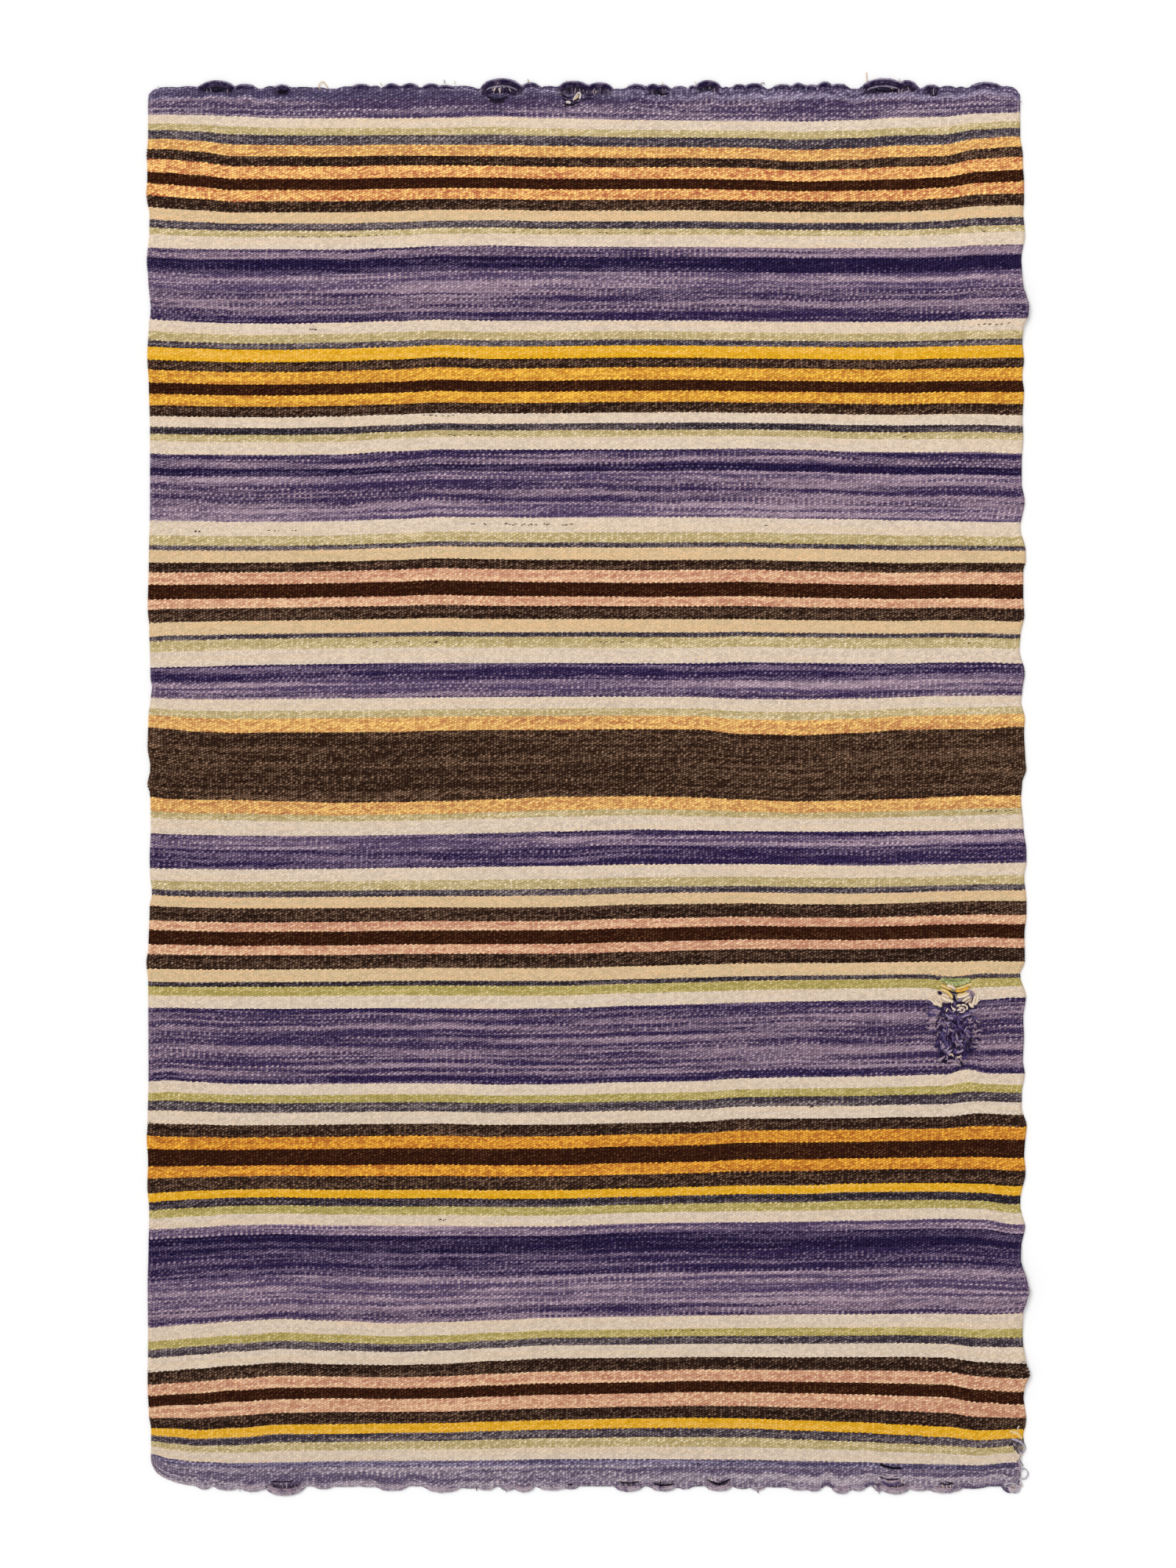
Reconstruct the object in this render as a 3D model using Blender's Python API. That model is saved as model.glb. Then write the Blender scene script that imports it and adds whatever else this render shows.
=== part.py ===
"""A woven blanket, laid flat: one loom-woven wool panel with its own side and end edges.

X runs across the blanket, the way the weft runs. Y runs along the warp. Z is up.
The origin is the middle of the blanket, on the surface that it lies on.
"""

import bmesh
import bpy

# Driving dimensions, in metres.
WIDTH = 1.113  # between the lines that the two side edges wave about
LENGTH = 1.782  # between the lines that the two end edges bulge out from
THICKNESS = 0.003  # beaten wool weft over a hard-spun warp
SHIFT_X = -0.0025  # the right side waves further out than the left
SHIFT_Y = -0.0005

LEFT, RIGHT = SHIFT_X - WIDTH / 2, SHIFT_X + WIDTH / 2
BOTTOM, TOP = SHIFT_Y - LENGTH / 2, SHIFT_Y + LENGTH / 2
MM = 0.001

# Points of the outline, and the coarser grid that lets the sheet rise in ripples.
END_STEPS, ACROSS_EVERY = 203, 7
SIDE_STEPS, ALONG_EVERY = 164, 4

# Each side edge, in millimetres: (down from the top end, out from the side's line).
LEFT_WAVES = (
    (0, 0), (20, 1), (66, 1), (85, 3), (94, 2), (118, 2), (134, 3.5), (145, 2), (155, -1), (185, -0.5),
    (220, 2.7), (240, 1), (285, -2.5), (300, 0), (340, 2), (380, 0), (430, -1.5), (530, -1.5), (600, 0),
    (665, 1.5), (685, -0.5), (750, -2), (764, -4), (780, -2), (800, 0.5), (840, 1.7), (866, -2),
    (888, 2), (900, -2), (945, -2.5), (980, -1), (1000, -1.5), (1026, -4), (1043, -1), (1095, 0.5),
    (1114, 3.2), (1140, 0.8), (1260, 0.5), (1320, 1.5), (1338, 2.8), (1367, 1), (1400, 2), (1430, -0.5),
    (1480, 0.5), (1525, 1.6), (1600, 1), (1655, 1.6), (1690, 0), (1710, -3), (1782, -2.5),
)
RIGHT_WAVES = (
    (0, -4), (60, -4), (85, -0.5), (100, -0.5), (115, 1), (145, 1), (152, -0.5), (187, 2.3), (215, -2.5),
    (250, -1), (262, 3), (275, 7), (288, 6.5), (305, 0), (320, -1.5), (345, 1), (367, -1.5), (385, 1),
    (420, -1), (445, 0), (475, -2), (505, -2), (525, 2), (560, -4), (588, 3), (602, 3.3), (615, 0),
    (650, 0), (672, 1.5), (695, -3.5), (715, -5), (745, 2), (770, -1.5), (782, -3), (802, 2), (820, 1),
    (855, 2.5), (867, 4), (885, -1.5), (905, -3), (940, 0), (972, 4), (985, 4), (1005, 1), (1035, 4),
    (1055, 4), (1075, 1.5), (1112, 2), (1130, -4.5), (1157, 3.5), (1185, 0), (1208, 1), (1240, -0.5),
    (1256, 2), (1280, -2), (1300, -2), (1322, 4.5), (1345, 2), (1358, 1), (1382, 3), (1415, -3.7),
    (1427, -3.7), (1451, 2.5), (1475, -2.5), (1492, -3.5), (1520, 4), (1532, 8), (1545, 4), (1560, -0.5),
    (1590, -1), (1620, 2), (1638, 8.5), (1650, 2), (1665, 0), (1697, 3.8), (1720, -0.5), (1733, 3),
    (1746, -3), (1775, -4), (1782, -6),
)

# Slack weft bulges out between drawn-in warp ends, in millimetres: (from the left side, half width, out).
TOP_BULGES = (
    (25, 16, 2.2), (50, 16, 3.2), (86, 24, 10.7), (122, 14, 6.4), (154, 8, 3.5), (169, 11, 5.5),
    (194, 18, 2.4), (214, 12, 1.8), (252, 11, 3.2), (270, 14, 6.2), (288, 8, 4.2), (309, 11, 6.9),
    (332, 12, 7.3), (359, 12, 6.8), (377, 14, 4.8), (399, 17, 3.8), (449, 27, 13.3), (486, 12, 8.4),
    (509, 12, 3.6), (541, 21, 10), (574, 17, 8.3), (621, 13, 6.2), (642, 9, 6.4), (655, 8, 5.2),
    (676, 10, 3.7), (693, 6, 4.5), (712, 17, 11.3), (735, 5, 3), (752, 10, 6), (771, 13, 7.3),
    (807, 13, 6.1), (828, 10, 7.6), (844, 8, 5.4), (861, 11, 9), (879, 13, 6.6), (936, 29, 13.3),
    (966, 14, 11), (997, 11, 5.3), (1019, 12, 3.7), (1037, 7, 2.8), (1068, 21, 8.4), (1094, 14, 3.2),
)
BOTTOM_BULGES = (
    (68, 9, 4.3), (99, 17, 5.2), (131, 17, 7), (172, 26, 12), (222, 13, 3.8), (249, 14, 0.8),
    (279, 9, 1.2), (309, 20, 5.6), (374, 24, 7.8), (409, 15, 3), (429, 12, 5), (456, 9, 5.6),
    (477, 14, 7.4), (514, 20, 5.1), (537, 10, 4), (611, 18, 6.8), (655, 17, 6.3), (682, 10, 4),
    (726, 17, 6.1), (756, 12, 3.5), (775, 10, 5), (801, 16, 1.6), (829, 18, 5.1), (847, 11, 6.6),
    (882, 13, 9.6), (903, 11, 6.1), (930, 7, 7), (951, 20, 10.1), (981, 16, 5.8), (1014, 25, 8.6),
    (1052, 20, 3.1), (1102, 9, 8.6),
)
BULGE_ROUNDNESS = 0.6

# How far each corner is drawn in, in millimetres: (along the end, along the side).
CORNERS = {"top left": (12, 7), "top right": (9, 7), "bottom left": (70, 30), "bottom right": (7, 6)}

# Where the sheet lifts off the surface, in metres: (middle x, half width, middle y, half length, height).
RIPPLES = (
    (-0.190, 0.060, 0.060, 0.760, 0.0040),
    (0.002, 0.055, 0.120, 0.700, 0.0030),
    (0.138, 0.065, -0.080, 0.740, 0.0040),
    (-0.400, 0.080, 0.420, 0.360, 0.0025),
    (-0.340, 0.070, -0.480, 0.330, 0.0025),
    (0.545, 0.070, 0.615, 0.060, 0.0045),
    (0.550, 0.080, -0.640, 0.070, 0.0050),
    (0.545, 0.070, -0.745, 0.045, 0.0045),
    (0.390, 0.060, -0.300, 0.110, 0.0030),
)

# The mend stands proud of the cloth: middle, half sizes and height, in metres.
MEND_X, MEND_Y = 0.470, -0.297
MEND_HALF_X, MEND_HALF_Y, MEND_RISE = 0.040, 0.064, 0.0022


def eased(table, at):
    """The table's second column at a place in its first, eased from row to row."""
    before = table[0]
    for after in table:
        if at <= after[0]:
            if after[0] == before[0]:
                return after[1]
            t = (at - before[0]) / (after[0] - before[0])
            return before[1] + (after[1] - before[1]) * t * t * (3 - 2 * t)
        before = after
    return before[1]


def left_side(y):
    return LEFT - eased(LEFT_WAVES, (TOP - y) / MM) * MM


def right_side(y):
    return RIGHT + eased(RIGHT_WAVES, (TOP - y) / MM) * MM


def bulge(table, x):
    """How far the slack weft of an end edge stands out at x."""
    out = 0.0
    for middle, half, rise in table:
        u = ((x - LEFT) / MM - middle) / half
        if abs(u) < 1:
            out = max(out, rise * (1 - u * u) ** BULGE_ROUNDNESS)
    return out * MM


def corner_drop(corner, d):
    """How far an end edge draws back at a distance d from the side."""
    along_end, along_side = (size * MM for size in CORNERS[corner])
    if d >= along_end:
        return 0.0
    u = 1 - max(d, 0.0) / along_end
    return along_side * (1 - (1 - u * u) ** 0.5)


def top_end(x):
    drop = corner_drop("top left", x - LEFT) + corner_drop("top right", RIGHT - x)
    return TOP + bulge(TOP_BULGES, x) - drop


def bottom_end(x):
    drop = corner_drop("bottom left", x - LEFT) + corner_drop("bottom right", RIGHT - x)
    return BOTTOM - bulge(BOTTOM_BULGES, x) + drop


def hump(u):
    """A soft hill: 1 in the middle, 0 and level at its foot."""
    return (1 - u * u) ** 2 if abs(u) < 1 else 0.0


def lift(x, y):
    """How high the underside of the cloth is off the surface."""
    return sum(h * hump((x - cx) / hx) * hump((y - cy) / hy) for cx, hx, cy, hy, h in RIPPLES)


def mend_rise(x, y):
    """How much the darning adds to the cloth's thickness."""
    u, v = (x - MEND_X) / MEND_HALF_X, (y - MEND_Y) / MEND_HALF_Y
    return MEND_RISE * hump(min((u * u + v * v) ** 0.5, 1.0))


def stations(low, high, steps):
    return [low + (high - low) * i / steps for i in range(steps + 1)]


def outline():
    """The cloth's edge seen from above, anticlockwise from the bottom left corner."""
    across = stations(LEFT, RIGHT, END_STEPS)[1:-1]
    along = stations(BOTTOM, TOP, SIDE_STEPS)[1:-1]
    corner = {name: size[1] * MM for name, size in CORNERS.items()}
    points = [(x, bottom_end(x)) for x in across]
    points += [(right_side(y), y) for y in [BOTTOM + corner["bottom right"]]]
    points += [(right_side(y), y) for y in along if y > BOTTOM + corner["bottom right"] + 2 * MM]
    points = [p for p in points if p[1] < TOP - corner["top right"] - 2 * MM]
    points += [(right_side(TOP), TOP - corner["top right"])]
    points += [(x, top_end(x)) for x in reversed(across)]
    points += [(left_side(TOP), TOP - corner["top left"])]
    low, high = BOTTOM + corner["bottom left"], TOP - corner["top left"]
    points += [(left_side(y), y) for y in reversed(along) if low + 2 * MM < y < high - 2 * MM]
    points += [(left_side(low), low)]
    return points


def woven_sheet():
    """The whole cloth: its outline filled, cut into a grid, lifted in ripples and given its thickness."""
    bm = bmesh.new()
    bm.faces.new([bm.verts.new((x, y, 0.0)) for x, y in outline()])
    cuts = [((x, 0, 0), (1, 0, 0)) for x in stations(LEFT, RIGHT, END_STEPS)[ACROSS_EVERY:-1:ACROSS_EVERY]]
    cuts += [((0, y, 0), (0, 1, 0)) for y in stations(BOTTOM, TOP, SIDE_STEPS)[ALONG_EVERY:-1:ALONG_EVERY]]
    for place, facing in cuts:
        everything = bm.verts[:] + bm.edges[:] + bm.faces[:]
        bmesh.ops.bisect_plane(bm, geom=everything, dist=1e-6, plane_co=place, plane_no=facing)
    bmesh.ops.triangulate(bm, faces=bm.faces[:])
    for vert in bm.verts:
        vert.co.z = lift(vert.co.x, vert.co.y)
    upper = bmesh.ops.extrude_face_region(bm, geom=bm.faces[:], use_keep_orig=True)["geom"]
    for vert in (v for v in upper if isinstance(v, bmesh.types.BMVert)):
        vert.co.z += THICKNESS + mend_rise(vert.co.x, vert.co.y)
    bmesh.ops.recalc_face_normals(bm, faces=bm.faces[:])
    mesh = bpy.data.meshes.new("blanket")
    bm.to_mesh(mesh)
    bm.free()
    return mesh


def wool():
    """Undyed and dyed handspun wool, at the stripes' mean colour."""
    material = bpy.data.materials.new("striped wool")
    material.use_nodes = True
    shader = material.node_tree.nodes["Principled BSDF"]
    shader.inputs["Base Color"].default_value = (0.24, 0.17, 0.16, 1.0)
    shader.inputs["Roughness"].default_value = 0.95
    shader.inputs["Metallic"].default_value = 0.0
    return material


for old in list(bpy.data.objects):
    bpy.data.objects.remove(old, do_unlink=True)

blanket = bpy.data.objects.new("blanket", woven_sheet())
blanket.data.materials.append(wool())
blanket.data.shade_smooth()
bpy.context.scene.collection.objects.link(blanket)
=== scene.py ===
"""A striped wool blanket, laid out flat and seen from straight above.

X runs across the blanket, the way the weft runs, Y along the warp, and Z up from the surface it lies on.
Inside the blanket, places are given as a weaver reads them: millimetres across from the left side, and
millimetres down from the top end, along the picks.
"""

import math
import random

import bmesh
import bpy
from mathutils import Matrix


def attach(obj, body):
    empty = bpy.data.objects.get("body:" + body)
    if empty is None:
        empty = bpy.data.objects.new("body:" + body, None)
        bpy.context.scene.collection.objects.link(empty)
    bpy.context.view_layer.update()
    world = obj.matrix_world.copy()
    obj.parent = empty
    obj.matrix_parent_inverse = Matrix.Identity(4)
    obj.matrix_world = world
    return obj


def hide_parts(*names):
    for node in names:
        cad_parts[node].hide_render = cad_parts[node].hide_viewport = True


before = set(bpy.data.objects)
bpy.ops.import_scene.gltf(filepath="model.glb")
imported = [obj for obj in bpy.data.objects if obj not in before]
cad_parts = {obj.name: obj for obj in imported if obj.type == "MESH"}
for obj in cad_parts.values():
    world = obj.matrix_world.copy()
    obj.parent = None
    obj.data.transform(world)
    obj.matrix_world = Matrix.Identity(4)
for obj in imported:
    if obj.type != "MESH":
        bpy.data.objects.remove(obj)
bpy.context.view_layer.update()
MM = 0.001

# The surface, the light and the camera.
# A plain white table top, even light from all round with two broad soft lamps that rake the weave a little,
# and a camera that looks straight down, so that one millimetre is one pixel of a 1500 by 2000 picture.
IMAGE_WIDTH = 1500 * MM
CAMERA_HEIGHT = 4.0
CAMERA_Y = 4 * MM
SENSOR = 36.0
TABLE_SIZE = 60.0
TABLE_WHITE = 0.91

camera = bpy.data.objects.new("camera", bpy.data.cameras.new("camera"))
camera.data.sensor_fit = "HORIZONTAL"
camera.data.sensor_width = SENSOR
camera.data.lens = SENSOR * CAMERA_HEIGHT / IMAGE_WIDTH
camera.location = (0, CAMERA_Y, CAMERA_HEIGHT)
bpy.context.scene.collection.objects.link(camera)
bpy.context.scene.camera = camera
bpy.context.scene.view_settings.view_transform = "Standard"

bm = bmesh.new()
bmesh.ops.create_grid(bm, x_segments=1, y_segments=1, size=TABLE_SIZE / 2)
table_top = bpy.data.objects.new("table_top", bpy.data.meshes.new("table_top"))
bm.to_mesh(table_top.data)
bm.free()
table_paint = bpy.data.materials.new("white table top")
table_paint.use_nodes = True
table_shader = table_paint.node_tree.nodes["Principled BSDF"]
table_shader.inputs["Base Color"].default_value = (TABLE_WHITE, TABLE_WHITE, TABLE_WHITE, 1)
table_shader.inputs["Roughness"].default_value = 0.9
table_shader.inputs["Specular IOR Level"].default_value = 0.1
table_top.data.materials.append(table_paint)
bpy.context.scene.collection.objects.link(table_top)

room = bpy.data.worlds.new("room")
room.use_nodes = True
room.node_tree.nodes["Background"].inputs["Color"].default_value = (1, 1, 1, 1)
room.node_tree.nodes["Background"].inputs["Strength"].default_value = 0.62
bpy.context.scene.world = room

# Each lamp: name, strength, tilt away from straight down and compass turn, in degrees, and softness.
for name, strength, tilt, turn, softness in (("window", 1.5, 42, 135, 30), ("fill", 0.5, 35, -50, 60)):
    lamp = bpy.data.objects.new(name, bpy.data.lights.new(name, "SUN"))
    lamp.data.energy = strength
    lamp.data.angle = math.radians(softness)
    lamp.rotation_euler = (math.radians(tilt), 0, math.radians(turn + 90))
    bpy.context.scene.collection.objects.link(lamp)


# The cloth.
# One loom-woven panel of plain weave: hard-spun undyed warps, wholly covered by thick handspun wool picks
# that are beaten close and change colour band by band. Its edges are the picks' own turns.
WIDTH, LENGTH, THICKNESS = 1113.0, 1782.0, 3.0
SHIFT_X, SHIFT_Y = -2.5, -0.5
LEFT, TOP = SHIFT_X - WIDTH / 2, SHIFT_Y + LENGTH / 2

# How far each side waves out: (down from the top end, out).
LEFT_WAVES = (
    (0, 0), (20, 1), (66, 1), (85, 3), (94, 2), (118, 2), (134, 3.5), (145, 2), (155, -1), (185, -0.5),
    (220, 2.7), (240, 1), (285, -2.5), (300, 0), (340, 2), (380, 0), (430, -1.5), (530, -1.5), (600, 0),
    (665, 1.5), (685, -0.5), (750, -2), (764, -4), (780, -2), (800, 0.5), (840, 1.7), (866, -2),
    (888, 2), (900, -2), (945, -2.5), (980, -1), (1000, -1.5), (1026, -4), (1043, -1), (1095, 0.5),
    (1114, 3.2), (1140, 0.8), (1260, 0.5), (1320, 1.5), (1338, 2.8), (1367, 1), (1400, 2), (1430, -0.5),
    (1480, 0.5), (1525, 1.6), (1600, 1), (1655, 1.6), (1690, 0), (1710, -3), (1782, -2.5),
)
RIGHT_WAVES = (
    (0, -4), (60, -4), (85, -0.5), (100, -0.5), (115, 1), (145, 1), (152, -0.5), (187, 2.3), (215, -2.5),
    (250, -1), (262, 3), (275, 7), (288, 6.5), (305, 0), (320, -1.5), (345, 1), (367, -1.5), (385, 1),
    (420, -1), (445, 0), (475, -2), (505, -2), (525, 2), (560, -4), (588, 3), (602, 3.3), (615, 0),
    (650, 0), (672, 1.5), (695, -3.5), (715, -5), (745, 2), (770, -1.5), (782, -3), (802, 2), (820, 1),
    (855, 2.5), (867, 4), (885, -1.5), (905, -3), (940, 0), (972, 4), (985, 4), (1005, 1), (1035, 4),
    (1055, 4), (1075, 1.5), (1112, 2), (1130, -4.5), (1157, 3.5), (1185, 0), (1208, 1), (1240, -0.5),
    (1256, 2), (1280, -2), (1300, -2), (1322, 4.5), (1345, 2), (1358, 1), (1382, 3), (1415, -3.7),
    (1427, -3.7), (1451, 2.5), (1475, -2.5), (1492, -3.5), (1520, 4), (1532, 8), (1545, 4), (1560, -0.5),
    (1590, -1), (1620, 2), (1638, 8.5), (1650, 2), (1665, 0), (1697, 3.8), (1720, -0.5), (1733, 3),
    (1746, -3), (1775, -4), (1782, -6),
)
WAVE_REACH = 150.0

# Slack picks bulge out between drawn-in warps: (across, half width, out, the share of it that is a gap
# between the last picks and the beaten cloth).
TOP_BULGES = (
    (25, 16, 2.2, 0), (50, 16, 3.2, 0), (86, 24, 10.7, 0.5), (122, 14, 6.4, 0.1), (154, 8, 3.5, 0),
    (169, 11, 5.5, 0.7), (194, 18, 2.4, 0), (214, 12, 1.8, 0), (252, 11, 3.2, 0), (270, 14, 6.2, 0.1),
    (288, 8, 4.2, 0), (309, 11, 6.9, 0.2), (332, 12, 7.3, 0.2), (359, 12, 6.8, 0.1), (377, 14, 4.8, 0),
    (399, 17, 3.8, 0), (449, 27, 13.3, 0.75), (486, 12, 8.4, 0.1), (509, 12, 3.6, 0), (541, 21, 10, 0.7),
    (574, 17, 8.3, 0.6), (621, 13, 6.2, 0.1), (642, 9, 6.4, 0.6), (655, 8, 5.2, 0.6), (676, 10, 3.7, 0),
    (693, 6, 4.5, 0), (712, 17, 11.3, 0.3), (735, 5, 3, 0), (752, 10, 6, 0.1), (771, 13, 7.3, 0.2),
    (807, 13, 6.1, 0.1), (828, 10, 7.6, 0.2), (844, 8, 5.4, 0.1), (861, 11, 9, 0.2), (879, 13, 6.6, 0.1),
    (936, 29, 13.3, 0.6), (966, 14, 11, 0.4), (997, 11, 5.3, 0.6), (1019, 12, 3.7, 0), (1037, 7, 2.8, 0),
    (1068, 21, 8.4, 0.1), (1094, 14, 3.2, 0),
)
BOTTOM_BULGES = (
    (68, 9, 4.3, 0), (99, 17, 5.2, 0), (131, 17, 7, 0.05), (172, 26, 12, 0.3), (222, 13, 3.8, 0),
    (249, 14, 0.8, 0), (279, 9, 1.2, 0), (309, 20, 5.6, 0), (374, 24, 7.8, 0.1), (409, 15, 3, 0),
    (429, 12, 5, 0), (456, 9, 5.6, 0.1), (477, 14, 7.4, 0.1), (514, 20, 5.1, 0), (537, 10, 4, 0),
    (611, 18, 6.8, 0.3), (655, 17, 6.3, 0.35), (682, 10, 4, 0), (726, 17, 6.1, 0.45), (756, 12, 3.5, 0),
    (775, 10, 5, 0), (801, 16, 1.6, 0), (829, 18, 5.1, 0), (847, 11, 6.6, 0), (882, 13, 9.6, 0.1),
    (903, 11, 6.1, 0.1), (930, 7, 7, 0.4), (951, 20, 10.1, 0.35), (981, 16, 5.8, 0), (1014, 25, 8.6, 0.2),
    (1052, 20, 3.1, 0), (1102, 9, 8.6, 0.1),
)
BULGE_ROUNDNESS = 0.6
BULGE_REACH = 20.0
SLACK = 8.5  # the depth at each end that the free last picks take up

# How far each corner is drawn in: (along the end, along the side), and how deep into the cloth that tells.
CORNERS = {"top left": (12, 7), "top right": (9, 7), "bottom left": (70, 30), "bottom right": (7, 6)}
CORNER_REACH = 33.0

# How far each pick strays down from its level at 239 mm across, read off at these distances across.
DRIFT_ACROSS = (2, 24, 59, 109, 169, 239, 309, 369, 439, 509, 629, 694, 759, 829, 899, 959, 1009, 1059, 1104)
DRIFT = (
    (0, (0, 0, 0, 0, 0, 0, 0, 0, 0, 0, 0, 0, 0, 0, 0, 0, 0, 0, 0)),
    (37, (-4, -4.5, -4, -2.5, 0, 0, 0, -0.5, -2, 0, 2.5, 3, 3.5, 4, 2.5, -1, -1.5, -6, -7)),
    (87, (-10, -10, -7, -0.5, -0.5, 0, -1.5, -1, -0.5, 1, 2, 2, 2.5, 6.5, 4, 0.5, -0.5, -10, -13)),
    (143, (-8, -6, -3.5, 0.5, 0, 0, -1.5, -3, -3, -1.5, -2, -2.5, -1, 0, 0, -0.5, -3.5, -9, -10)),
    (205, (-2.5, -1.5, -0.5, -0.5, -0.5, 0, -2, -4.5, -5.5, -4, -3.5, -3.5, -3, -2, -2, -2, -3, -5.5, -6.5)),
    (298, (-4.5, -3, -1, 1, 1.5, 0, -2, -3.5, -2.5, -2.5, -3, -2.5, -1.5, -1, -1, -1, -2, -4.5, -5)),
    (347, (-2, -1, 0, 1.5, 1.5, 0, -2, -5, -3, -3.5, -5, -4.5, -3.5, -3, -2, -2, -3.5, -4, -5)),
    (417, (-0.5, -0.5, 0.5, 1, 1.5, 0, -2, -4, -3.5, -4, -5, -5.5, -4.5, -4, -2.5, -2, -3, -3, -2)),
    (466, (-1.5, 0, 0, 0.5, 1, 0, -4, -6.5, -6.5, -6.5, -6.5, -7, -8, -6.5, -3.5, -3, -3, -3.5, -1.5)),
    (551, (-1, -0.5, 0, 1, 1, 0, -2.5, -5, -5, -4.5, -5, -5, -4.5, -3, -2.5, -1, -0.5, 1, 1.5)),
    (629, (2, 2.5, 2, 2, 1.5, 0, -1.5, -3.5, -2, -1, 0, -0.5, -1.5, 0.5, 2, 3, 2, 1.5, 2)),
    (676, (4.5, 2.5, 2.5, 1.5, 1, 0, -1, -2, -1, -1, -1, -0.5, -1, 0.5, 1, 1.5, 0.5, 1, 2.5)),
    (731, (5.5, 4.5, 4, 2, 1, 0, -1, -1, -1, -1, -0.5, -0.5, -2.5, -1.5, -0.5, -0.5, -1.5, -2, -0.5)),
    (776, (-0.5, 1, 1.5, 1.5, 1, 0, -0.5, -1, -1.5, -2, -2, -1.5, 1, 1.5, 0.5, -1.5, -3, -3.5, -3.5)),
    (822, (-6.5, -4.5, -1, 1, 0, 0, -0.5, -2, -3, -3, -4, -3.5, 2.5, 4, 1, -3, -4, -4, -7)),
    (910, (-7.5, -5, -4, -4, -2, 0, -1, -2, -4.5, -7.5, -8.5, -7, -4, -1.5, -3, -5, -7.5, -9.5, -9.5)),
    (952, (-3, -2, -1, 0, 0.5, 0, -1, -2, -3.5, -5.5, -8, -7, -6, -5.5, -5.5, -6, -6.5, -7.5, -9)),
    (993, (-0.5, 0, 0.5, 1, 0.5, 0, -1, -1.5, -2.5, -3.5, -5.5, -6, -6, -5, -4, -4.5, -5.5, -6.5, -7.5)),
    (1044, (-3, -1.5, -0.5, 0.5, 0.5, 0, -0.5, -1, -0.5, -1, -4.5, -5.5, -6, -4.5, -4.5, -6, -8, -9, -9)),
    (1092, (-1.5, -1.5, -0.5, 0.5, 0, 0, -1.5, -2, -2, -2, -4.5, -6.5, -8, -7.5, -7, -8, -9.5, -10.5, -9)),
    (1137, (0, 0.5, 1, 0.5, 0.5, 0, -1, -1.5, -1, -1, -3.5, -5.5, -7, -8, -8.5, -9.5, -9.5, -10.5, -10)),
    (1172, (-0.5, -1, 0, 0.5, 0.5, 0, -0.5, -0.5, 0.5, 0, -3.5, -5.5, -7.5, -9, -10, -11, -11, -11, -14)),
    (1268, (-3, -4.5, -2.5, 0, 0.5, 0, -0.5, -0.5, 1, 0.5, -2, -3.5, -7, -8.5, -9, -10.5, -12, -13, -13)),
    (1318, (-1, -0.5, 0, 1.5, 1, 0, -0.5, -1, 1, 0.5, -1.5, -3, -7, -7, -7.5, -9, -9, -14, -12)),
    (1350, (-0.5, 1, 1, 1.5, 0.5, 0, -1, -1, 0, -0.5, -3.5, -5, -8, -8.5, -9, -10, -11, -12.5, -12)),
    (1413, (6, 3.5, 1.5, -0.5, -1, 0, 0.5, 0, 1, 1, -1.5, -3.5, -5, -5, -7.5, -8, -8, -6.5, -3)),
    (1448, (5.5, 4.5, 3, 0, -1, 0, 1, 1, 2, 2, -2.5, -3.5, -3.5, -4, -5.5, -6.5, -8, -7.5, -0.5)),
    (1570, (9.5, 7, 4.5, 1, -2, 0, 3.5, 2, -0.5, -3.5, -5, -6.5, -7, -8, -8, -8.5, -8.5, -8, -10)),
    (1624, (10, 8.5, 5.5, 1.5, -2.5, 0, 1, -0.5, -4.5, -8, -8.5, -9.5, -9.5, -9, -9.5, -10, -9, -3.5, -2.5)),
    (1669, (11.5, 9.5, 8.5, 4.5, 1.5, 0, 1, 0.5, -2, -4, -6, -8, -7.5, -6.5, -5, -3, -1.5, 5.5, 8.5)),
    (1714, (3, 4, 7, 5, 0, 0, -1.5, -2, -4, -6, -8, -8, -7.5, -4.5, -2, 1.5, 4.5, 8.5, 6)),
    (1749, (-9.5, -3.5, 0.5, 2.5, 1.5, 0, -0.5, -0.5, -1, -2.5, -2.5, -2, -1.5, 0, 1.5, 3.5, 4.5, 5.5, 1.5)),
    (1782, (0, 0, 0, 0, 0, 0, 0, 0, 0, 0, 0, 0, 0, 0, 0, 0, 0, 0, 0)),
)

# Where the mend draws the picks up or down: (across, down, half width, half depth, down by).
PUCKERS = (
    (1026, 1141, 38, 22, 3.5), (1022, 1172, 34, 26, 8.5), (1041, 1268, 26, 30, -6), (1030, 1220, 40, 40, 2),
)

# Where the sheet lifts off the surface: (x, half width, y, half length, height).
RIPPLES = (
    (-190, 60, 60, 760, 4), (2, 55, 120, 700, 3), (138, 65, -80, 740, 4), (-400, 80, 420, 360, 2.5),
    (-340, 70, -480, 330, 2.5), (545, 70, 615, 60, 4.5), (550, 80, -640, 70, 5), (545, 70, -745, 45, 4.5),
    (390, 60, -300, 110, 3),
)
MEND_X, MEND_Y, MEND_HALF_X, MEND_HALF_Y, MEND_RISE = 470, -297, 40, 64, 2.2


def smooth(t):
    """0 to 1 in an S, level at both ends."""
    t = min(max(t, 0.0), 1.0)
    return t * t * (3 - 2 * t)


def eased(table, at):
    """The table's second column at a place in its first, eased from row to row."""
    before = table[0]
    for after in table:
        if at <= after[0]:
            if after[0] == before[0]:
                return after[1]
            return before[1] + (after[1] - before[1]) * smooth((at - before[0]) / (after[0] - before[0]))
        before = after
    return before[1]


def bulge(table, across):
    """How far the last picks stand out, and how much of that is a gap behind them."""
    out = gap = 0.0
    for middle, half, rise, share in table:
        u = (across - middle) / half
        if abs(u) < 1:
            here = rise * (1 - u * u) ** BULGE_ROUNDNESS
            out, gap = max(out, here), max(gap, here * share)
    return out, gap


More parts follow.
